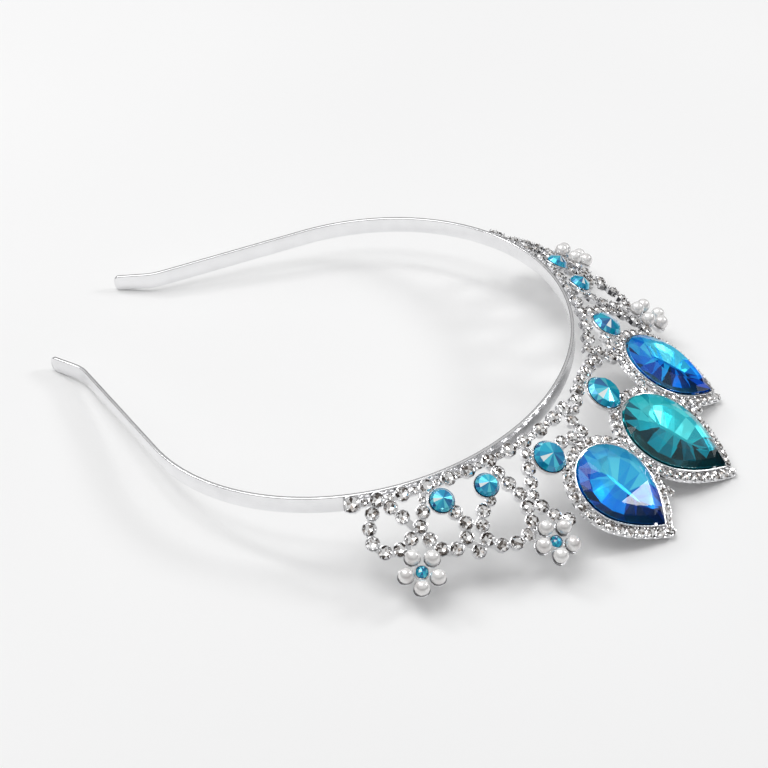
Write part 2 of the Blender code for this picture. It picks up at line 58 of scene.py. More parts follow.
def addMesh(name, parts, paint, smooth=None, tones=None):
    # Joins (points, faces) parts in one mesh; smooth is the angle under which an edge is soft.
    points, faces, start = [], [], 0
    for placed, lists in parts:
        points.append(placed)
        faces += [(start + f).tolist() for f in lists]
        start += len(placed)
    mesh = bpy.data.meshes.new(name)
    mesh.from_pydata(np.concatenate(points).tolist(), [], sum(faces, []))
    mesh.update()
    if tones is not None:
        tone = mesh.attributes.new("tone", "FLOAT", "FACE")
        tone.data.foreach_set("value", np.asarray(tones, np.float32))
    if smooth:
        mesh.shade_smooth()
        mesh.set_sharp_from_angle(angle=math.radians(smooth))
    piece = bpy.data.objects.new(name, mesh)
    bpy.context.scene.collection.objects.link(piece)
    mesh.materials.append(paint)
    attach(piece, "root")
    return piece


def lay(points):
    # Band frame to floor frame: a turn about X and a shift.
    c, s = math.cos(math.radians(rest["tilt"])), math.sin(math.radians(rest["tilt"]))
    x, y, z = points[..., 0], points[..., 1], points[..., 2]
    return np.stack([x, c * y + s * z + rest["back"], c * z - s * y + rest["rise"]], -1)


def sweep(centres, across, up, profile, closed=False):
    # Each profile point (u, v) gives the line: centre + u * across + v * up, all along the path.
    points = (
        centres[:, None]
        + across[:, None] * profile[..., 0, None]
        + up[:, None] * profile[..., 1, None]
    )
    rows, columns = points.shape[:2]
    faces = [grid(rows, columns, closeRows=closed)]
    if not closed:
        ends = np.arange(columns)
        faces += [ends[None, ::-1], ends[None] + (rows - 1) * columns]
    return points.reshape(-1, 3), faces


def copies(origins, axes, shape, faces, size=1.0, turns=None):
    # The same small shape at each frame: origin + axes @ (turned and scaled point).
    shape = np.broadcast_to(shape, (len(origins), *shape.shape)) * np.reshape(size, (-1, 1, 1))
    if turns is not None:
        c, s = np.cos(turns)[:, None], np.sin(turns)[:, None]
        x, y = shape[..., 0], shape[..., 1]
        shape = np.stack([c * x - s * y, s * x + c * y, shape[..., 2]], -1)
    points = origins[:, None] + np.einsum("nij,nvj->nvi", axes, shape)
    step = np.arange(len(origins))[:, None, None] * shape.shape[1]
    return points.reshape(-1, 3), [(f[None] + step).reshape(-1, f.shape[1]) for f in faces]


def roundedBar(width, top, bottom, soft, points=3):
    # A rectangle with quarter circles for corners, anticlockwise.
    corner = np.linspace(0, math.pi / 2, points)
    arc = np.stack([np.cos(corner), np.sin(corner)], 1) * soft
    half, high, middle = width / 2 - soft, (top - bottom) / 2 - soft, (top + bottom) / 2
    quads = ((1, 1), (-1, 1), (-1, -1), (1, -1))
    return np.concatenate(
        [(arc[:: 1 if a * b > 0 else -1] + [half, high]) * [a, b] + [0, middle] for a, b in quads]
    )


def nextOf(numbers):
    return np.roll(numbers, -1)


def facesOf(*corners):
    return np.stack(corners, -1)


def runOf(outline):
    # Direction at each point of a closed outline, from the point before it to the point after.
    run = np.roll(outline, -1, 0) - np.roll(outline, 1, 0)
    return run / np.linalg.norm(run, axis=1, keepdims=True)


def leftOf(run):
    return np.stack([-run[:, 1], run[:, 0]], 1)


def flat(outline, height):
    return np.concatenate([outline, np.full((len(outline), 1), height)], 1)


def inFrame(origin, axes, points):
    return origin + points @ axes.T


def lathe(profile, sides):
    # A profile of (radius, height) turned about Z; flat ends close it at the first and last ring.
    angle = np.arange(sides) * 2 * math.pi / sides
    radius, height = profile[:, :1], profile[:, 1:]
    points = np.stack([radius * np.cos(angle), radius * np.sin(angle), height + 0 * angle], -1)
    rim = np.arange(sides)
    ends = [rim[None, ::-1], rim[None] + (len(profile) - 1) * sides]
    return points.reshape(-1, 3), [grid(len(profile), sides), *ends]


def cloudOn(nodes, links, scale):
    # Noise on Object coordinates.
    place = nodes.new("ShaderNodeTexCoord")
    cloud = nodes.new("ShaderNodeTexNoise")
    cloud.inputs["Scale"].default_value = scale
    links.new(place.outputs["Object"], cloud.inputs["Vector"])
    return cloud


def noiseInto(nodes, links, socket, scale, low, high):
    # A cloudy value between low and high.
    cloud = cloudOn(nodes, links, scale)
    spread = nodes.new("ShaderNodeMapRange")
    spread.inputs["From Min"].default_value = 0.3
    spread.inputs["From Max"].default_value = 0.7
    spread.inputs["To Min"].default_value = low
    spread.inputs["To Max"].default_value = high
    links.new(cloud.outputs["Fac"], spread.inputs["Value"])
    links.new(spread.outputs["Result"], socket)
    return cloud


def newPaint(name):
    paint = bpy.data.materials.new(name)
    paint.use_nodes = True
    tree = paint.node_tree
    return paint, tree.nodes, tree.links, tree.nodes["Principled BSDF"]


def rampInto(nodes, links, source, socket, stops):
    ramp = nodes.new("ShaderNodeValToRGB")
    for k, (place, colour) in enumerate(stops):
        stop = ramp.color_ramp.elements[k] if k < 2 else ramp.color_ramp.elements.new(place)
        stop.position = place
        stop.color = (*colour, 1.0)
    links.new(source, ramp.inputs["Fac"])
    links.new(ramp.outputs["Color"], socket)
    return ramp


silverLook = {
    "dark": (0.78, 0.78, 0.79),
    "light": (0.93, 0.93, 0.94),
    "smoothest": 0.03,
    "roughest": 0.12,
    "ripple": 0.05,
}


def silverPaint(name, look):
    paint, nodes, links, shader = newPaint(name)
    shader.inputs["Metallic"].default_value = 1.0
    cloud = noiseInto(
        nodes, links, shader.inputs["Roughness"], 220, look["smoothest"], look["roughest"]
    )
    rampInto(
        nodes,
        links,
        cloud.outputs["Fac"],
        shader.inputs["Base Color"],
        [(0.35, look["dark"]), (0.6, look["light"])],
    )
    ripple = nodes.new("ShaderNodeBump")
    ripple.inputs["Strength"].default_value = look["ripple"]
    ripple.inputs["Distance"].default_value = 0.0002
    links.new(cloud.outputs["Fac"], ripple.inputs["Height"])
    links.new(ripple.outputs["Normal"], shader.inputs["Normal"])
    return paint


def toneInto(nodes, links, socket, stops):
    # The colour of a facet from its own tone.
    tone = nodes.new("ShaderNodeAttribute")
    tone.attribute_name = "tone"
    return rampInto(nodes, links, tone.outputs["Fac"], socket, stops)


def glassPaint(name, stops):
    paint, nodes, links, shader = newPaint(name)
    shader.inputs["Transmission Weight"].default_value = 1.0
    shader.inputs["IOR"].default_value = 1.48
    shader.inputs["Roughness"].default_value = 0.0
    toneInto(nodes, links, shader.inputs["Base Color"], stops)
    return paint


def foilPaint(name, stops):
    paint, nodes, links, shader = newPaint(name)
    # A faint glow of the facet's own tone stands for light that has crossed the stone twice.
    shader.inputs["Metallic"].default_value = 0.6
    shader.inputs["Roughness"].default_value = 0.20
    shader.inputs["Emission Strength"].default_value = 0.24
    ramp = toneInto(nodes, links, shader.inputs["Base Color"], stops)
    links.new(ramp.outputs["Color"], shader.inputs["Emission Color"])
    return paint


def facetPaint(name, stops, metallic, roughness):
    # Mirror-backed cut glass seen from above: each facet's tone is painted reflection and painted
    # shade, under a clear coat.
    paint, nodes, links, shader = newPaint(name)
    shader.inputs["Metallic"].default_value = metallic
    shader.inputs["Roughness"].default_value = roughness
    shader.inputs["Coat Weight"].default_value = 1.0
    shader.inputs["Coat Roughness"].default_value = 0.02
    toneInto(nodes, links, shader.inputs["Base Color"], stops)
    return paint


bandLook = {
    "dark": (0.86, 0.86, 0.87),
    "light": (0.90, 0.90, 0.91),
    "smoothest": 0.18,
    "roughest": 0.22,
    "ripple": 0.0,
}
silver = silverPaint("polishedSilver", silverLook)
bandSilver = silverPaint("bandSilver", bandLook)
# Clear stones: the tones run from painted shade, dark brown-grey, to painted white highlights.
clearFacets = facetPaint(
    "clearFacets",
    [(0.0, (0.05, 0.038, 0.03)), (0.20, (0.20, 0.17, 0.15)), (0.40, (0.66, 0.63, 0.61)),
     (0.62, (1.0, 1.0, 1.0))],
    0.8,
    0.12,
)
# Aqua stones: the tones run from painted shade, deep blue, to a painted near-white highlight.
aquaFacets = facetPaint(
    "aquaFacets",
    [(0.0, (0.0, 0.08, 0.30)), (0.25, (0.0, 0.32, 0.60)), (0.60, (0.0, 0.56, 0.78)),
     (0.82, (0.16, 0.78, 0.90)), (1.0, (0.92, 1.0, 1.0))],
    0.35,
    0.15,
)
blueGlass = glassPaint("blueCrown", [(0.0, (0.40, 0.66, 1.0)), (1.0, (0.88, 0.98, 1.0))])
# Foils: the tones run from painted shade, near-black, to painted light, bright blue or aqua, set
# facet by facet in addStone.
blueFoil = foilPaint(
    "blueFoil",
    [(0.0, (0.0, 0.005, 0.03)), (0.22, (0.0, 0.02, 0.17)), (0.40, (0.0, 0.10, 0.62)),
     (0.60, (0.0, 0.30, 0.82)), (0.8, (0.02, 0.50, 0.84)), (1.0, (0.12, 0.76, 0.95))],
)
tealGlass = glassPaint("tealCrown", [(0.0, (0.40, 0.84, 0.90)), (1.0, (0.88, 1.0, 1.0))])
# Teal foil: the same painted shade and painted light, in teal.
tealFoil = foilPaint(
    "tealFoil",
    [(0.0, (0.0, 0.008, 0.012)), (0.22, (0.0, 0.03, 0.045)), (0.40, (0.0, 0.14, 0.20)),
     (0.60, (0.0, 0.36, 0.46)), (0.8, (0.0, 0.56, 0.64)), (1.0, (0.10, 0.82, 0.86))],
)

pearlLook = {"shade": (0.82, 0.79, 0.78), "light": (0.96, 0.95, 0.94), "roughness": 0.22}


def pearlPaint(look):
    paint, nodes, links, shader = newPaint("pearlLustre")
    shader.inputs["Roughness"].default_value = look["roughness"]
    shader.inputs["Metallic"].default_value = 0.30
    shader.inputs["Coat Weight"].default_value = 1.0
    shader.inputs["Coat Roughness"].default_value = 0.06
    cloud = cloudOn(nodes, links, 260)
    rampInto(
        nodes,
        links,
        cloud.outputs["Fac"],
        shader.inputs["Base Color"],
        [(0.35, look["shade"]), (0.55, look["light"])],
    )
    return paint


pearlWhite = pearlPaint(pearlLook)
print("tiara: finishes mixed")


# The headband, a flat strip on edge bent to a horseshoe.
headband = {
    "halfWidth": 0.0650,
    "frontDepth": 0.0603,
    "backRadius": 0.0550,
    "backTurn": 39.0,
    "armLength": 0.0436,
    "bendRadius": 0.0120,
    "tipLength": 0.0091,
    "tipTurn": 23.0,
    "height": 0.0047,
    "thickness": 0.0010,
    "edgeRound": 0.00028,
    "endRound": 0.0016,
    "endShare": 0.15,
    "step": 0.0011,
}


def bandPlan(band):
    # Quarter of an ellipse, an arc, a straight arm, a short bend outwards and a straight tip.
    a = np.linspace(0, math.pi / 2, 400)
    front = np.stack([band["halfWidth"] * np.sin(a), band["frontDepth"] * (1 - np.cos(a))], 1)
    turn, tipTurn = math.radians(band["backTurn"]), math.radians(band["tipTurn"])
    a = np.linspace(0, turn, 100)[1:]
    back = front[-1] + band["backRadius"] * np.stack([np.cos(a) - 1, np.sin(a)], 1)
    run = np.linspace(0, 1, 40)[1:, None]
    arm = back[-1] + run * band["armLength"] * np.array([-math.sin(turn), math.cos(turn)])
    a = np.linspace(turn, turn - tipTurn, 20)[1:]
    bend = np.stack([np.cos(turn) - np.cos(a), np.sin(turn) - np.sin(a)], 1)
    bend = arm[-1] + band["bendRadius"] * bend
    turn -= tipTurn
    tip = bend[-1] + run * band["tipLength"] * np.array([-math.sin(turn), math.cos(turn)])
    plan = np.concatenate([front, back, arm, bend, tip])
    return np.concatenate([[0], np.cumsum(np.hypot(*np.diff(plan, axis=0).T))]), plan


bandLength, bandPoints = bandPlan(headband)


def onBand(along):
    # The plan is read off at a length; the outward way is the slope over one millimetre, turned.
    side, reach = np.where(along < 0, -1.0, 1.0), np.abs(along)
    read = lambda at: np.stack([np.interp(at, bandLength, bandPoints[:, k]) for k in (0, 1)], -1)
    before = read(np.clip(reach - 0.0005, 0, bandLength[-1]))
    after = read(np.clip(reach + 0.0005, 0, bandLength[-1]))
    run = after - before
    run = run / np.linalg.norm(run, axis=-1, keepdims=True)
    run = np.where((reach == 0)[..., None], [1.0, 0.0], run)
    point = read(reach)
    zero = np.zeros_like(side)
    outward = np.stack([side * run[..., 1], -run[..., 0], zero], -1)
    return np.stack([side * point[..., 0], point[..., 1], zero], -1), outward


def fanFrames(places):
    # Places (along, out) on the cone of the fan: out runs outwards and down from the band's edge.
    places = np.asarray(places, float)
    point, outward = onBand(places[:, 0])
    share = np.minimum(np.abs(places[:, 0]) / fan["reach"], 1.2)
    angle = np.radians(fan["angle"] + fan["gain"] * share**2)[:, None]
    rise = np.array([0.0, 0.0, 1.0])
    down = outward * np.cos(angle) - rise * np.sin(angle)
    up = outward * np.sin(angle) + rise * np.cos(angle)
    origin = point + down * places[:, 1:] - rise * fan["drop"]
    axes = np.stack([np.cross(down, up), down, up], -1)
    turned = lay(np.moveaxis(axes, 2, 1)) - lay(np.zeros(3))
    return lay(origin), np.moveaxis(turned, 2, 1)


def bandStrip(band):
    # A rounded rectangle stood on edge and carried along the horseshoe; its height shrinks as a
    # quarter circle towards each end.
    reach = bandLength[-1]
    inner = np.linspace(-reach, reach, round(2 * reach / band["step"]))
    tail = reach - band["endRound"] * (1 - np.cos(np.linspace(0, math.pi / 2, 7)))
    along = np.unique(np.concatenate([-tail, inner[np.abs(inner) < tail[-1]], tail]))
    left = np.minimum(reach - np.abs(along), band["endRound"])
    cut = band["endRound"] - np.sqrt(
        np.maximum(band["endRound"] ** 2 - (band["endRound"] - left) ** 2, 0)
    )
    point, outward = onBand(along)
    thick, high = band["thickness"] / 2, band["height"] / 2
    profile = roundedBar(band["thickness"], high, -high, band["edgeRound"], 4)
    profile = np.broadcast_to(profile, (len(along), *profile.shape)).copy()
    lower = (high - cut)[:, None] / high
    profile[..., 1] *= np.maximum(lower, band["endShare"])
    rise = np.array([0.0, 0.0, 1.0])
    centres = lay(point - outward * thick - rise * high)
    across = lay(outward) - lay(np.zeros(3))
    up = np.broadcast_to(lay(rise) - lay(np.zeros(3)), across.shape)
    return sweep(centres, across, up, profile)


strip = addMesh("headbandStrip", [bandStrip(headband)], bandSilver, smooth=35)
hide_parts("tiara_frame")
print("tiara: headband bent")


# Openwork. Each row is (along, out), as shares of the fan's reach and depth, for one half.
openwork = {
    "row": [
        (0.98, 0.036), (0.90, 0.036), (0.82, 0.036), (0.74, 0.036), (0.665, 0.036), (0.595, 0.040),
        (0.515, 0.046), (0.435, 0.056), (0.370, 0.066), (0.295, 0.076), (0.220, 0.084),
        (0.160, 0.092),
    ],
    "arch": [(0.135, 0.150), (0.080, 0.112), (0.0, 0.098)],
    "outerLoop": [
        (0.907, 0.060), (0.926, 0.108), (0.940, 0.182), (0.934, 0.258), (0.903, 0.306),
        (0.870, 0.304), (0.844, 0.276), (0.813, 0.240), (0.790, 0.196), (0.774, 0.128),
        (0.760, 0.060),
    ],
    "middleLoop": [
        (0.877, 0.064), (0.860, 0.098), (0.835, 0.158), (0.817, 0.208), (0.796, 0.252),
        (0.787, 0.292), (0.773, 0.340), (0.745, 0.382), (0.701, 0.358), (0.678, 0.288),
        (0.687, 0.222), (0.700, 0.186),
    ],
    "innerLoop": [
        (0.525, 0.064), (0.512, 0.140), (0.504, 0.216), (0.496, 0.294), (0.508, 0.382),
        (0.526, 0.442), (0.561, 0.474), (0.608, 0.458), (0.644, 0.406), (0.640, 0.318),
        (0.616, 0.254), (0.583, 0.226),
    ],
    "branch": [
        (0.375, 0.084), (0.400, 0.140), (0.426, 0.200), (0.453, 0.270), (0.469, 0.338),
        (0.462, 0.410), (0.447, 0.472), (0.416, 0.532),
    ],
    "drop": [(0.700, 0.360), (0.677, 0.405), (0.686, 0.460)],
    "bow": [
        (0.160, 0.092), (0.180, 0.162), (0.178, 0.228), (0.214, 0.230), (0.257, 0.202),
        (0.300, 0.186),
    ],
    "leaf": [(0.130, 0.640), (0.146, 0.715), (0.160, 0.785)],
}
shortLinks = [
    [(0.845, 0.280), (0.855, 0.370)],
    [(0.790, 0.290), (0.806, 0.395)],
    [(0.648, 0.400), (0.680, 0.415)],
    [(0.178, 0.228), (0.222, 0.300)],
    [(0.160, 0.092), (0.135, 0.150)],
    [(0.524, 0.440), (0.510, 0.510)],
    [(0.447, 0.465), (0.470, 0.540)],
]
bars = {
    "strandWidth": 0.0019,
    "linkWidth": 0.0015,
    "rowWidth": 0.0019,
    "rowLeast": 0.0016,
    "rowEnd": 0.0012,
    "linkDrop": 0.0001,
    "top": 0.00005,
    "step": 0.0006,
    "edgeRound": 0.00022,
}
strandNames = ("outerLoop", "middleLoop", "innerLoop", "branch", "drop", "bow", "leaf")


def placesOf(row, side=1):
    return np.array(row) * [side * fan["reach"], fan["depth"]]


def rowPlacesOf(side):
    # The row stays at least its least distance out from the band's edge.
    row = placesOf(openwork["row"], side)
    row[:, 1] = np.maximum(row[:, 1], bars["rowLeast"])
    return row


def sidesOf(row):
    return (1,) if row["along"] == 0 else (1, -1)


def sided(name, side):
    return name + ("_left" if side > 0 else "_right")


def labelOf(name, row, side):
    return name if row["along"] == 0 else sided(name, side)


def placeOf(row, side):
    return [side * row["along"] * fan["reach"], row["out"] * fan["depth"]]


def frameAt(place):
    origins, axes = fanFrames([place])
    return origins[0], axes[0]


def smoothPath(points):
    # Catmull-Rom: a cubic between each two points whose slopes come from their neighbours.
    ends = np.concatenate([[2 * points[0] - points[1]], points, [2 * points[-1] - points[-2]]])
    a, b, c, d = (ends[k : len(ends) - 3 + k, None] for k in range(4))
    t = np.linspace(0, 1, 16, endpoint=False)[None, :, None]
    curve = 2 * b + (c - a) * t + (2 * a - 5 * b + 4 * c - d) * t**2
    curve = (curve + (3 * b - a - 3 * c + d) * t**3) / 2
    return np.concatenate([curve.reshape(-1, 2), points[-1:]])


def pathLengths(path):
    steps = np.linalg.norm(np.diff(fanFrames(path)[0], axis=0), axis=1)
    return np.concatenate([[0], np.cumsum(steps)])


def alongPath(path, count):
    run = pathLengths(path)
    where = np.linspace(0, run[-1], count)
    return np.stack([np.interp(where, run, path[:, k]) for k in (0, 1)], 1)


def railAlong(path, width, top):
    # The bar's rounded section carried along a path on the fan, square to the path's direction.
    count = max(4, round(pathLengths(path)[-1] / bars["step"]))
    centres, axes = fanFrames(alongPath(path, count))
    up = axes[:, :, 2]
    run = np.gradient(centres, axis=0)
    across = np.cross(run, up)
    across /= np.linalg.norm(across, axis=1, keepdims=True)
    profile = roundedBar(width, top, -metal["thickness"], bars["edgeRound"])
    return sweep(centres, across, up, np.broadcast_to(profile, (count, *profile.shape)))


rails = []
for side in (1, -1):
    row = rowPlacesOf(side)
    row[0, 0] += side * bars["rowEnd"]
    rails.append(railAlong(smoothPath(row), bars["rowWidth"], bars["top"]))
    for name in strandNames:
        path = smoothPath(placesOf(openwork[name], side))
        rails.append(railAlong(path, bars["strandWidth"], bars["top"]))
    for link in shortLinks:
        path = smoothPath(placesOf(link, side))
        rails.append(railAlong(path, bars["linkWidth"], bars["top"] - bars["linkDrop"]))
halfArch = placesOf(openwork["arch"])
arch = smoothPath(np.concatenate([halfArch, halfArch[-2::-1] * [-1, 1]]))
rails.append(railAlong(arch, bars["strandWidth"], bars["top"]))
addMesh("openworkBars", rails, silver, smooth=40)
print("tiara: openwork bars laid")


# Large stones, their wells and halos.
pears = {
    "pear_stone_centre": {
        "along": 0.0, "out": 0.370, "width": 0.0240, "length": 0.0300, "lift": 4.4, "turn": 0.0,
        "glass": tealGlass, "foil": tealFoil, "slot": "teal_glass",
    },
    "pear_stone_side": {
        "along": 0.2545, "out": 0.319, "width": 0.0214, "length": 0.0265, "lift": 0.0,
        "turn": 3.5, "glass": blueGlass, "foil": blueFoil, "slot": "blue_glass",
    },
}
pearCut = {
    "tipAngle": 53.0,
    "girdle": 0.0015,
    "girdleThickness": 0.0003,
    "top": 0.0041,
    "table": 0.62,
    "breakShare": 0.85,
    "breakHeight": 0.50,
    "depth": 0.0021,
    "lowerShare": 0.70,
    "lowerHeight": 0.62,
    "keelWide": 0.05,
    "keelLong": 0.42,
    "facets": 16,
    "centre": 0.10,
    # Painted shade on the pavilions: the shaded side, its strength, the lightest tone, the
    # darkening at the rim and the random part.
    "shadedSide": (-0.93, -0.36, 0.0),
    "darkness": 0.88,
    "lightest": 1.05,
    "rimShade": 0.62,
    "chance": (-0.44, 0.20),
}
well = {"rim": 0.0013, "bottom": -0.0010, "plateTop": -0.00075, "edgeRound": 0.00016}
halo = {
    "pitch": 0.0029,
    "width": 0.0030,
    "cupHalf": 0.00138,
    "tipBack": 0.0005,
    "inset": 0.00016,
    "ledge": 0.0014,
    "ledgeIn": 0.0006,
    "ledgeTop": 0.0001,
    "ledgeRound": 0.0002,
    "wireRadius": 0.00024,
    "wireDrop": -0.00045,
    "wireIn": 0.0005,
    "bulge": 0.0003,
    "bulgeIn": 0.0002,
    "nearest": 0.0022,
}


def pearOutline(width, length, spread, count):
    # A half circle, then a quadratic curve along the tangent to the tip on each side; evenly
    # spaced points that start at the tip.
    radius = width / 2 + spread
    half = math.radians(pearCut["tipAngle"])
    tip = length - width / 2 + spread / math.sin(half)
    shoulder = max(tip - radius / math.tan(half), 0.0)
    t = np.linspace(1, 0, 60)
    near, far = 2 * t * (1 - t), (1 - t) ** 2
    flank = np.stack([radius * (t * t + near), shoulder * near + tip * far], 1)
    a = np.linspace(-math.pi / 2, 0, 60)[:-1]
    right = np.concatenate([np.stack([radius * np.cos(a), radius * np.sin(a)], 1), flank])
    whole = np.concatenate([right[::-1], (right * [-1, 1])[1:]])
    run = np.concatenate([[0], np.cumsum(np.hypot(*np.diff(whole, axis=0).T))])
    where = np.linspace(0, run[-1], count, endpoint=False)
    outline = np.stack([np.interp(where, run, whole[:, k]) for k in (0, 1)], 1)
    return outline[::-1].copy()


def pearFrame(row, side):
    # The fan's frame at the middle of the round end, turned in its plane and lifted at the tip.
    along, out = placeOf(row, side)
    origin, axes = frameAt([along, out + row["width"] / 2])
    a, b = -side * math.radians(row["turn"]), math.radians(row["lift"])
    turn = np.array([[math.cos(a), -math.sin(a), 0], [math.sin(a), math.cos(a), 0], [0, 0, 1]])
    lift = np.array([[1, 0, 0], [0, math.cos(b), -math.sin(b)], [0, math.sin(b), math.cos(b)]])
    return origin, axes @ turn @ lift


def loopSweep(origin, axes, outline, profile):
    # A section carried round a closed outline in one plane, square to the outline.
    outwards = flat(-leftOf(runOf(outline)), 0.0)
    up = np.broadcast_to([0.0, 0.0, 1.0], outwards.shape)
    profile = np.broadcast_to(profile, (len(outline), *profile.shape))
    points, faces = sweep(flat(outline, 0.0), outwards, up, profile, closed=True)
    return inFrame(origin, axes, points), faces


def plateOf(outline, low, high):
    # A flat plate: the outline at two heights.
    points = np.concatenate([flat(outline, low), flat(outline, high)])
    count = len(outline)
    ends = np.arange(count)
    return points, [grid(2, count), ends[None, ::-1], ends[None] + count]


def pearStone(row, cut):
    # Crown: girdle points, half as many break points further in, a table further in still.
    # Pavilion: the same downwards to a narrow keel. Each ring is the outline scaled about the
    # centre, and the keel is scaled down more across than along.
    n = cut["facets"]
    outline = pearOutline(row["width"], row["length"], 0.0, 2 * n)
    centre = np.array([0.0, cut["centre"] * row["length"]])
    ring = lambda share, height, picks: flat(centre + (outline[picks] - centre) * share, height)
    every, even, odd = np.arange(2 * n), np.arange(0, 2 * n, 2), np.arange(1, 2 * n, 2)
    low, high = cut["girdle"], cut["girdle"] + cut["girdleThickness"]
    rise = cut["top"] - high
    points = np.concatenate(
        [
            ring(1.0, low, every),
            ring(1.0, high, every),
            ring(cut["breakShare"], high + cut["breakHeight"] * rise, even),
            ring(cut["table"], cut["top"], odd),
            ring(cut["lowerShare"], low - cut["lowerHeight"] * cut["depth"], even),
            ring([cut["keelWide"], cut["keelLong"]], low - cut["depth"], odd),
        ]
    )
    g0, g1 = np.arange(2 * n), np.arange(2 * n) + 2 * n
    br, ta, lo, keel = (np.arange(n) + k * n for k in (4, 5, 6, 7))
    crown = np.concatenate(
        [
            facesOf(g1[0::2], g1[1::2], br),
            facesOf(g1[1::2], nextOf(br), br),
            facesOf(g1[1::2], nextOf(g1[0::2]), nextOf(br)),
            facesOf(br, nextOf(br), ta),
            facesOf(ta, nextOf(br), nextOf(ta)),
        ]
    )
    pavilion = np.concatenate(
        [
            facesOf(g0[1::2], g0[0::2], lo),
            facesOf(g0[1::2], lo, nextOf(lo)),
            facesOf(nextOf(g0[0::2]), g0[1::2], nextOf(lo)),
            facesOf(nextOf(lo), lo, keel),
            facesOf(nextOf(lo), keel, nextOf(keel)),
        ]
    )
    girdle = facesOf(g0, nextOf(g0), nextOf(g1), g1)
    return points, crown, girdle, ta[None], pavilion, keel[None, ::-1]


def addStone(name, origin, axes, stone, row, rng):
    # Table, crown and girdle are one paint and the pavilion another. The pavilion carries painted
    # shade: a facet's tone falls towards the shaded side and towards the girdle, and every tone
    # has a little chance in it. Crown tones are random, and on the opaque facet paint of the round
    # stones they are painted reflections.
    points, crown, girdle, table, *under = stone
    placed = inFrame(origin, axes, points)
    faces = [table, crown, girdle, *under]
    middles = np.concatenate([placed[f].mean(1) for f in under]) - placed.mean(0)
    reach = np.linalg.norm(middles, axis=1)
    widest = reach.max()
    # Painted shade: darker towards the shaded side and towards the rim.
    near = middles @ np.array(pearCut["shadedSide"]) / widest
    underTones = pearCut["lightest"] - pearCut["darkness"] * near
    underTones -= pearCut["rimShade"] * reach / widest
    tones = np.concatenate(
        [
            # The table takes the lightest tone, a painted highlight on the round stones' facet
            # paint.
            [1.0],
            rng.uniform(0.0, 0.8, len(crown)),
            np.full(len(girdle), 0.3),
            underTones,
        ]
    )
    count = len(middles)
    tones[-count:] += rng.uniform(*pearCut["chance"], count)
    tones = np.clip(tones, 0, 1)
    piece = addMesh(name, [(placed, faces)], row["glass"], tones=tones)
    piece.data.materials.append(row["foil"])
    picked = np.zeros(len(tones), np.int32)
    picked[-count:] = 1
    piece.data.polygons.foreach_set("material_index", picked)
    return piece


def wellParts(row, origin, axes):
    # The wall round the stone, the plate under it and the ledge that carries the halo cups.
    sizes = (row["width"], row["length"])
    spread = metal["gap"] + metal["wall"] / 2
    middle = metal["gap"] + metal["wall"] + halo["width"] / 2 - halo["ledgeIn"]
    wall = roundedBar(metal["wall"], well["rim"], well["bottom"], well["edgeRound"])
    ledge = roundedBar(halo["ledge"], halo["ledgeTop"], well["bottom"], halo["ledgeRound"])
    points, faces = plateOf(pearOutline(*sizes, spread, 90), well["bottom"], well["plateTop"])
    return [
        loopSweep(origin, axes, pearOutline(*sizes, spread, 120), wall),
        (inFrame(origin, axes, points), faces),
        loopSweep(origin, axes, pearOutline(*sizes, middle, 120), ledge),
    ]


def haloWire(sizes, origin, axes, middle, count):
    # The wire swells at each cup, and a mean over thirteen points rounds it at the tip.
    wire = pearOutline(*sizes, middle + halo["width"] / 2 - halo["wireIn"], 10 * count)
    bulge = halo["bulge"] * np.abs(np.cos(np.arange(10 * count) * math.pi / 10))
    wire = wire - leftOf(runOf(wire)) * (bulge[:, None] - halo["bulgeIn"])
    wire = sum(np.roll(wire, k, 0) for k in range(-6, 7)) / 13
    a = np.arange(6) * math.pi / 3
    ring = np.stack([np.cos(a), np.sin(a)], 1) * halo["wireRadius"] + [0, halo["wireDrop"]]
    return loopSweep(origin, axes, wire, ring)


def haloParts(row, origin, axes):
    # The wire, and the frames of the cups, spaced evenly round the stone.
    sizes = (row["width"], row["length"])
    middle = metal["gap"] + metal["wall"] + halo["width"] / 2
    fine = pearOutline(*sizes, middle, 400)
    length = np.hypot(*(np.roll(fine, -1, 0) - fine).T).sum()
    count = max(3, round(length / halo["pitch"]))
    spots = pearOutline(*sizes, middle - halo["inset"], count)
    spots[0, 1] -= halo["tipBack"]
    run = runOf(spots)
    local = np.stack([flat(run, 0.0), flat(leftOf(run), 0.0)], -1)
    local = np.concatenate([local, np.broadcast_to([[0.0], [0.0], [1.0]], (count, 3, 1))], 2)
    frames = (inFrame(origin, axes, flat(spots, 0.0)), axes @ local)
    return haloWire(sizes, origin, axes, middle, count), frames


settings = []
haloSpots = []
for node, row in pears.items():
    for side in sidesOf(row):
        origin, axes = pearFrame(row, side)
        label = labelOf(node, row, side)
        stone = addStone(label + "_cut", origin, axes, pearStone(row, pearCut), row, scatter)
        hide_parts(label)
        wire, frames = haloParts(row, origin, axes)
        settings += [*wellParts(row, origin, axes), wire]
        haloSpots.append(frames)
print("tiara: pear stones cut")


rounds = {
    "round_stone_centre": {"along": 0.0, "out": 0.234, "diameter": 0.0098},
    "round_stone_inner": {"along": 0.344, "out": 0.210, "diameter": 0.0086},
    "round_stone_middle": {"along": 0.570, "out": 0.151, "diameter": 0.0060},
    "round_stone_outer": {"along": 0.715, "out": 0.130, "diameter": 0.0060},
}
rivoliCut = {
    "facets": 14,
    "point": 0.0031,
    "breakShare": 0.80,
    "breakHeight": 0.55,
    "girdle": 0.0008,
    "girdleThickness": 0.0002,
    "depth": 0.0013,
}
rivoliLook = {"slot": "aqua_glass", "glass": aquaFacets, "foil": aquaFacets}
bezel = {"wall": 0.00035, "lip": 0.0006, "soft": 0.0001, "gap": 0.00008}


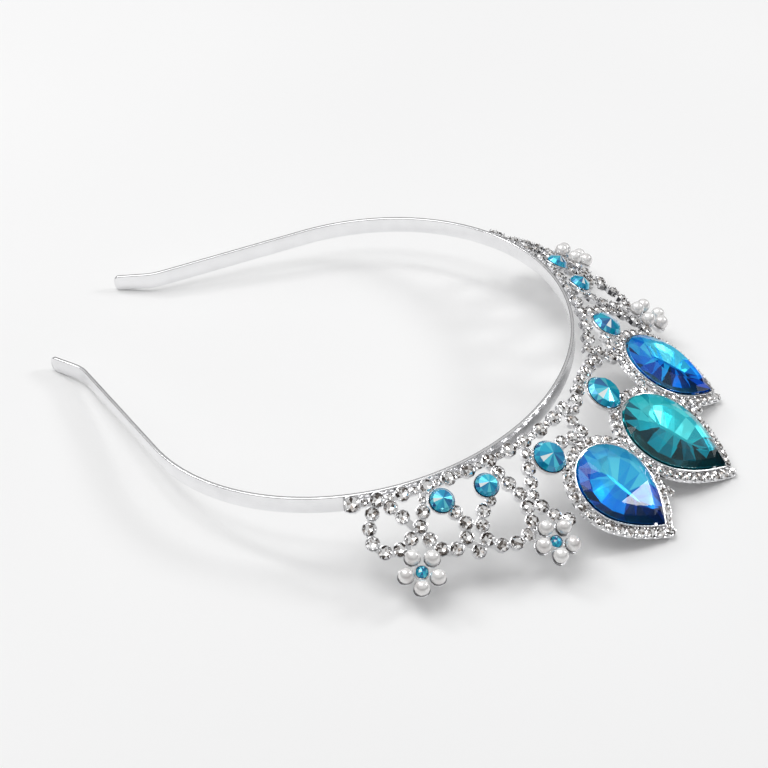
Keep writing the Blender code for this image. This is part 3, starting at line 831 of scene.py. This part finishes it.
def rivoliStone(radius, cut):
    # Radial facets from a ring of break points to one point; narrow facets from girdle to break.
    n = cut["facets"]
    a = np.arange(2 * n) * math.pi / n
    circle = np.stack([np.cos(a), np.sin(a)], 1) * radius
    low, high = cut["girdle"], cut["girdle"] + cut["girdleThickness"]
    rise = cut["point"] - high
    points = np.concatenate(
        [
            flat(circle, low),
            flat(circle, high),
            flat(circle[::2] * cut["breakShare"], high + cut["breakHeight"] * rise),
            [[0.0, 0.0, cut["point"]], [0.0, 0.0, low - cut["depth"]]],
        ]
    )
    g0, g1, br = np.arange(2 * n), np.arange(2 * n) + 2 * n, np.arange(n) + 4 * n
    apex, culet = np.full(n, 5 * n), np.full(2 * n, 5 * n + 1)
    crown = np.concatenate(
        [
            facesOf(g1[0::2], g1[1::2], br),
            facesOf(g1[1::2], nextOf(br), br),
            facesOf(g1[1::2], nextOf(g1[0::2]), nextOf(br)),
            facesOf(br, nextOf(br), apex),
        ]
    )
    girdle = facesOf(g0, nextOf(g0), nextOf(g1), g1)
    return points, crown[:-1], girdle, crown[-1:], facesOf(nextOf(g0), g0, culet)


def bezelCup(radius):
    # A round cup with a rolled lip, from its foot up the outside and down the inside.
    outer, lip, soft = radius + bezel["wall"], bezel["lip"], bezel["soft"]
    profile = [
        [outer * 0.80, -0.0010], [outer * 0.96, -0.0007], [outer, 0.0001], [outer, lip],
        [outer - soft, lip + soft], [radius + bezel["gap"], lip], [radius, 0.0],
        [radius * 0.7, -0.0006],
    ]
    return lathe(np.array(profile), 28)


for node, row in rounds.items():
    for side in sidesOf(row):
        origin, axes = frameAt(placeOf(row, side))
        label = labelOf(node, row, side)
        radius = row["diameter"] / 2
        stone = rivoliStone(radius, rivoliCut)
        piece = addStone(label + "_cut", origin, axes, stone, rivoliLook, scatter)
        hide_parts(label)
        points, faces = bezelCup(radius)
        settings.append((inFrame(origin, axes, points), faces))
addMesh("stoneSettings", settings, silver, smooth=45)
print("tiara: round stones set")


# Pearl flowers: their places, and the middle of each pearl.
flowers = {
    "inner_flower": {"along": 0.496, "out": 0.566, "turn": 27.0},
    "outer_flower": {"along": 0.832, "out": 0.438, "turn": 17.0},
}
pearl = {
    "diameter": 0.00394,
    "ring": 0.0041,
    "petals": 5,
    "around": 20,
    "rings": 14,
    "cup": 0.0021,
}
centreCut = {
    "radius": 0.0015,
    "facets": 8,
    "point": 0.0016,
    "breakShare": 0.62,
    "breakHeight": 0.8,
    "girdle": 0.0006,
    "girdleThickness": 0.0002,
    "depth": 0.0013,
}


def petalsOf(row, side):
    # Frame of the flower, and the pearls' places in it.
    origin, axes = frameAt(placeOf(row, side))
    steps = np.arange(pearl["petals"]) * 2 * math.pi / pearl["petals"]
    a = math.pi / 2 + side * (math.radians(row["turn"]) + steps)
    return origin, axes, np.stack([np.cos(a), np.sin(a), 0 * a], 1) * pearl["ring"]


petalSpots = []
for row in flowers.values():
    for side in (1, -1):
        origin, flowerAxes, ring = petalsOf(row, side)
        petalSpots.append(inFrame(origin, flowerAxes, ring))
petalSpots = np.concatenate(petalSpots)


# Small clear stones in their cups: one unit cup and one unit stone, placed at every seat.
cups = {
    "row": 0.00200,
    "end": 0.00215,
    "strand": 0.00190,
    "fillers": (0.00150, 0.00110),
    "bead": 0.00100,
    "step": 0.0002,
    "touch": 0.97,
    "sides": 10,
    "prong": 0.17,
    "rowShare": 0.95,
    "roundIn": 0.0006,
    "haloRoom": 0.0010,
    "pearlRoom": 0.0012,
    "beadGap": 0.0050,
    "haloStone": 1.02,
}


def unitCup(sides):
    # A dish of radius one with a raised lip, turned about Z, and four prongs that lean inwards.
    dish = np.array([[0.74, -0.56], [1.0, -0.40], [1.0, 0.30], [0.90, 0.35], [0.84, 0.05]])
    points, faces = lathe(dish, sides)
    a = np.arange(4) * math.pi / 2 + math.pi / 4
    step = np.array([[-1, -1], [1, -1], [1, 1], [-1, 1]]) * cups["prong"] / 2
    axes = np.stack([np.cos(a), np.sin(a), -np.sin(a), np.cos(a)], 1).reshape(4, 2, 2)
    corner = np.einsum("nkj,pk->npj", axes, step)
    base, tip = axes[:, None, 0] * 0.90 + corner, axes[:, None, 0] * 0.80 + corner * 0.6
    foot, head = (np.full((4, 4, 1), height) for height in (0.20, 0.62))
    prongs = np.concatenate(
        [np.concatenate([base, foot], -1), np.concatenate([tip, head], -1)], 1
    )
    start = len(points) + np.arange(4)[:, None, None] * 8
    walls = (grid(2, 4)[None] + start).reshape(-1, 4)
    tops = (np.array([[4, 5, 6, 7]])[None] + start).reshape(-1, 4)
    feet = (np.array([[3, 2, 1, 0]])[None] + start).reshape(-1, 4)
    return np.concatenate([points, prongs.reshape(-1, 3)]), [*faces, walls, tops, feet]


def unitStone():
    # Radius one: eight girdle points, eight table points between them, a shallow star of eight
    # facets inside the table, and eight facets down to one point.
    a = np.arange(8) * math.pi / 4
    girdle = np.stack([np.cos(a), np.sin(a), 0 * a + 0.14], 1) * [0.90, 0.90, 1]
    b = a + math.pi / 8
    table = np.stack([np.cos(b), np.sin(b), 0 * a + 0.56], 1) * [0.52, 0.52, 1]
    points = np.concatenate([girdle, table, [[0, 0, -0.45], [0, 0, 0.46]]])
    g, t = np.arange(8), np.arange(8) + 8
    star = facesOf(t, nextOf(t), np.full(8, 17))
    under = facesOf(nextOf(g), g, np.full(8, 16))
    return points, [facesOf(g, nextOf(g), t), facesOf(t, nextOf(g), nextOf(t)), star, under]


def packAlong(path, taken, radius):
    # The next cup stands at the first place along the path that touches none of those before it.
    count = max(2, round(pathLengths(path)[-1] / cups["step"]))
    origins, axes = fanFrames(alongPath(path, count))
    centres, rooms = taken
    kept = []
    for k in range(count):
        away = np.linalg.norm(centres - origins[k], axis=1)
        if (away < (rooms + radius) * cups["touch"]).any():
            continue
        kept.append(k)
        centres = np.concatenate([centres, origins[k : k + 1]])
        rooms = np.append(rooms, radius)
    return origins[kept], axes[kept], (centres, rooms)


# Row cups, then the arch and the strands, packed one behind the other round what is already set.
rowPlaces, endPlaces, beadPlaces = [], [], []
for side in (1, -1):
    row = rowPlacesOf(side)
    endPlaces.append(row[:1])
    rowPlaces.append(row[1:])
    wide = np.abs(np.diff(row[:, 0])) > cups["beadGap"]
    beadPlaces.append(((row[:-1] + row[1:]) / 2)[wide])
rowOrigins, rowAxes = fanFrames(np.concatenate(rowPlaces))
endOrigins, endAxes = fanFrames(np.concatenate(endPlaces))
beadOrigins, beadAxes = fanFrames(np.concatenate(beadPlaces))
seated = [(row, side) for row in rounds.values() for side in sidesOf(row)]
roundSpots = fanFrames([placeOf(row, side) for row, side in seated])[0]
roundRooms = np.array([row["diameter"] / 2 - cups["roundIn"] for row, _ in seated])
haloOrigins, haloAxes = haloSpots[0]
for nextOrigins, nextAxes in haloSpots[1:]:
    away = np.linalg.norm(nextOrigins[:, None] - haloOrigins[None], axis=2).min(1)
    haloOrigins = np.concatenate([haloOrigins, nextOrigins[away > halo["nearest"]]])
    haloAxes = np.concatenate([haloAxes, nextAxes[away > halo["nearest"]]])
taken = (
    np.concatenate([rowOrigins, endOrigins, roundSpots, haloOrigins, petalSpots]),
    np.concatenate(
        [
            np.full(len(rowOrigins), cups["row"] * cups["rowShare"]),
            np.full(len(endOrigins), cups["end"]),
            roundRooms,
            np.full(len(haloOrigins), cups["haloRoom"]),
            np.full(len(petalSpots), cups["pearlRoom"]),
        ]
    ),
)
seatOrigins, seatAxes = [rowOrigins], [rowAxes]
seatRadii = [np.full(len(rowOrigins), cups["row"])]
paths = [arch]
paths += [smoothPath(placesOf(openwork[name], side)) for side in (1, -1) for name in strandNames]
for radius in (cups["strand"], *cups["fillers"]):
    for path in paths:
        nextOrigins, nextAxes, taken = packAlong(path, taken, radius)
        seatOrigins.append(nextOrigins)
        seatAxes.append(nextAxes)
        seatRadii.append(np.full(len(nextOrigins), radius))
origins, axes, radii = (np.concatenate(rows) for rows in (seatOrigins, seatAxes, seatRadii))

cupPoints, cupFaces = unitCup(cups["sides"])
roundCups = copies(origins, axes, cupPoints, cupFaces, radii)
addMesh("stoneCups", [roundCups], silver, smooth=35)


def squared(points):
    # A circle pushed out to a soft square: x to the fourth plus y to the fourth is one.
    a = np.arctan2(points[:, 1], points[:, 0])
    reach = (np.abs(np.cos(a)) ** 4 + np.abs(np.sin(a)) ** 4) ** -0.25
    return points * np.stack([reach, reach, np.ones(len(points))], 1)


# Halo cups, end cups and the beads between the outer row cups are squarer.
squareOrigins = np.concatenate([haloOrigins, endOrigins, beadOrigins])
squareAxes = np.concatenate([haloAxes, endAxes, beadAxes])
squareRadii = np.concatenate(
    [
        np.full(len(haloOrigins), halo["cupHalf"]),
        np.full(len(endOrigins), cups["end"]),
        np.full(len(beadOrigins), cups["bead"]),
    ]
)
squareCups = copies(squareOrigins, squareAxes, squared(cupPoints), cupFaces, squareRadii)
addMesh("haloCups", [squareCups], silver, smooth=35)


def addClearStones(name, origins, axes, radii, shape, turns):
    points, faces = shape
    placed = copies(origins, axes, points, faces, radii, turns)
    # Random tones on the clear facet paint: painted reflections and painted shade, facet by facet.
    tones = scatter.uniform(0, 1, sum(len(f) for f in placed[1]))
    return addMesh(name, [placed], clearFacets, tones=tones)


clearCut, clearFaces = unitStone()
turns = scatter.uniform(0, math.pi / 4, len(origins))
addClearStones("clearStones", origins, axes, radii, (clearCut, clearFaces), turns)
squareCut = (squared(clearCut), clearFaces)
haloRadii = squareRadii * cups["haloStone"]
addClearStones("haloStones", squareOrigins, squareAxes, haloRadii, squareCut, None)
print("tiara:", len(origins), "cups and", len(squareOrigins), "square cups set")


def ball(radius, around, rings):
    # Sphere: radius times (cos a sin b, sin a sin b, cos b), its poles one point each.
    b = np.linspace(0, math.pi, rings + 1)[1:-1]
    profile = np.stack([np.sin(b), -np.cos(b)], 1) * radius
    points, faces = lathe(profile, around)
    points = np.concatenate([points, [[0, 0, -radius], [0, 0, radius]]])
    rim = np.arange(around)
    last = (rings - 2) * around
    low = np.stack([np.roll(rim, -1), rim, np.full(around, len(points) - 2)], -1)
    high = np.stack([last + rim, last + np.roll(rim, -1), np.full(around, len(points) - 1)], -1)
    return points, [faces[0], low, high]


def pearlBowl(cup):
    # A shallow bowl under one pearl.
    profile = [
        [cup * 0.35, -0.0009], [cup * 0.75, -0.0006], [cup * 0.98, 0.0], [cup * 1.02, 0.0006],
        [cup * 0.96, 0.0007], [cup * 0.90, 0.0004], [cup * 0.5, 0.0],
    ]
    return lathe(np.array(profile), 16)


# The setting of the stone in a flower's middle.
hub = [[0.0016, -0.0010], [0.0019, -0.0006], [0.0018, 0.0007], [0.0016, 0.0008], [0.0014, 0.0003]]

pearlSeats = []
for name, row in flowers.items():
    for side in (1, -1):
        label = sided(name, side)
        origin, flowerAxes, ring = petalsOf(row, side)
        radius = pearl["diameter"] / 2
        lift = np.array([0, 0, radius])
        petalAxes = np.broadcast_to(flowerAxes, (pearl["petals"], 3, 3))
        points, faces = ball(radius, pearl["around"], pearl["rings"])
        placed = copies(inFrame(origin, flowerAxes, ring + lift), petalAxes, points, faces)
        beads = addMesh(label + "_pearls", [placed], pearlWhite, smooth=80)
        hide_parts(*[f"{label}_pearl_{k + 1}" for k in range(pearl["petals"])])
        points, faces = pearlBowl(pearl["cup"])
        pearlSeats.append(copies(inFrame(origin, flowerAxes, ring), petalAxes, points, faces))
        points, faces = lathe(np.array(hub), 16)
        pearlSeats.append((inFrame(origin, flowerAxes, points), faces))
        stone = rivoliStone(centreCut["radius"], centreCut)
        piece = addStone(label + "_stone_cut", origin, flowerAxes, stone, rivoliLook, scatter)
        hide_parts(label + "_stone")
addMesh("pearlCups", pearlSeats, silver, smooth=45)
print("tiara: pearl flowers set")


# Studio: pale floor, a large soft light above, a smaller one at each side, and a soft glow.
studio = {
    "floorSize": 6.0,
    "floorShade": (0.90, 0.90, 0.90),
    "floorLight": (0.94, 0.94, 0.94),
    "skyLow": (0.06, 0.06, 0.065),
    "skyMiddle": (0.10, 0.10, 0.105),
    "skyHigh": (1.0, 1.0, 1.0),
    "skyStrength": 0.56,
}
lamps = [
    {"name": "topBox", "place": (0.0, 0.32, 1.05), "size": 0.8, "power": 5.0},
    {"name": "rightBox", "place": (0.55, -0.75, 0.62), "size": 0.25, "power": 2.2},
    {"name": "leftBox", "place": (0.25, 0.85, 0.80), "size": 0.25, "power": 1.8},
]
camera = {
    "place": (-0.39485, -0.12914, 0.33932),
    "right": (0.32792, -0.94463, 0.01231),
    "up": (0.58899, 0.21462, 0.77912),
    "back": (-0.73862, -0.24824, 0.62675),
    "lens": 91.84,
}


def addFloor(look):
    half = look["floorSize"] / 2
    corners = np.array([[-half, -half, 0], [half, -half, 0], [half, half, 0], [-half, half, 0]])
    mesh = bpy.data.meshes.new("floor")
    mesh.from_pydata((corners - [0, 0, 0.00002]).tolist(), [], [(0, 1, 2, 3)])
    floor = bpy.data.objects.new("floor", mesh)
    bpy.context.scene.collection.objects.link(floor)
    paint, nodes, links, shader = newPaint("paleFloor")
    shader.inputs["Roughness"].default_value = 0.7
    shader.inputs["Specular IOR Level"].default_value = 0.2
    cloud = cloudOn(nodes, links, 3.0)
    stops = [(0.3, look["floorShade"]), (0.7, look["floorLight"])]
    rampInto(nodes, links, cloud.outputs["Fac"], shader.inputs["Base Color"], stops)
    mesh.materials.append(paint)


def addLamp(row):
    lamp = bpy.data.lights.new(row["name"], "AREA")
    lamp.shape = "SQUARE"
    lamp.size = row["size"]
    lamp.energy = row["power"]
    holder = bpy.data.objects.new(row["name"], lamp)
    bpy.context.scene.collection.objects.link(holder)
    away = np.array(row["place"]) / np.linalg.norm(row["place"])
    side = np.cross([0.0, 1.0, 0.0], away)
    side /= np.linalg.norm(side)
    axes = np.stack([side, np.cross(away, side), away], 1)
    matrix = np.eye(4)
    matrix[:3, :3], matrix[:3, 3] = axes, row["place"]
    holder.matrix_world = Matrix(matrix.tolist())


def addSky(look):
    # Brightness of the surroundings by height: dim near the horizon, bright overhead.
    world = bpy.data.worlds.new("studioGlow")
    bpy.context.scene.world = world
    world.use_nodes = True
    nodes, links = world.node_tree.nodes, world.node_tree.links
    shader = nodes["Background"]
    shader.inputs["Strength"].default_value = look["skyStrength"]
    place = nodes.new("ShaderNodeTexCoord")
    split = nodes.new("ShaderNodeSeparateXYZ")
    links.new(place.outputs["Generated"], split.inputs["Vector"])
    stops = [(0.0, look["skyLow"]), (0.32, look["skyMiddle"]), (0.50, look["skyHigh"])]
    rampInto(nodes, links, split.outputs["Z"], shader.inputs["Color"], stops)


def addCamera(look):
    lens = bpy.data.cameras.new("photoCamera")
    lens.lens = look["lens"]
    lens.sensor_width = 36.0
    lens.clip_start = 0.01
    lens.clip_end = 20.0
    holder = bpy.data.objects.new("photoCamera", lens)
    bpy.context.scene.collection.objects.link(holder)
    matrix = np.eye(4)
    matrix[:3, 0], matrix[:3, 1], matrix[:3, 2] = look["right"], look["up"], look["back"]
    matrix[:3, 3] = look["place"]
    holder.matrix_world = Matrix(matrix.tolist())
    bpy.context.scene.camera = holder


addFloor(studio)
for row in lamps:
    addLamp(row)
addSky(studio)
addCamera(camera)
bpy.context.scene.view_settings.view_transform = "Standard"
print("tiara: studio lit")

bpy.context.view_layer.update()
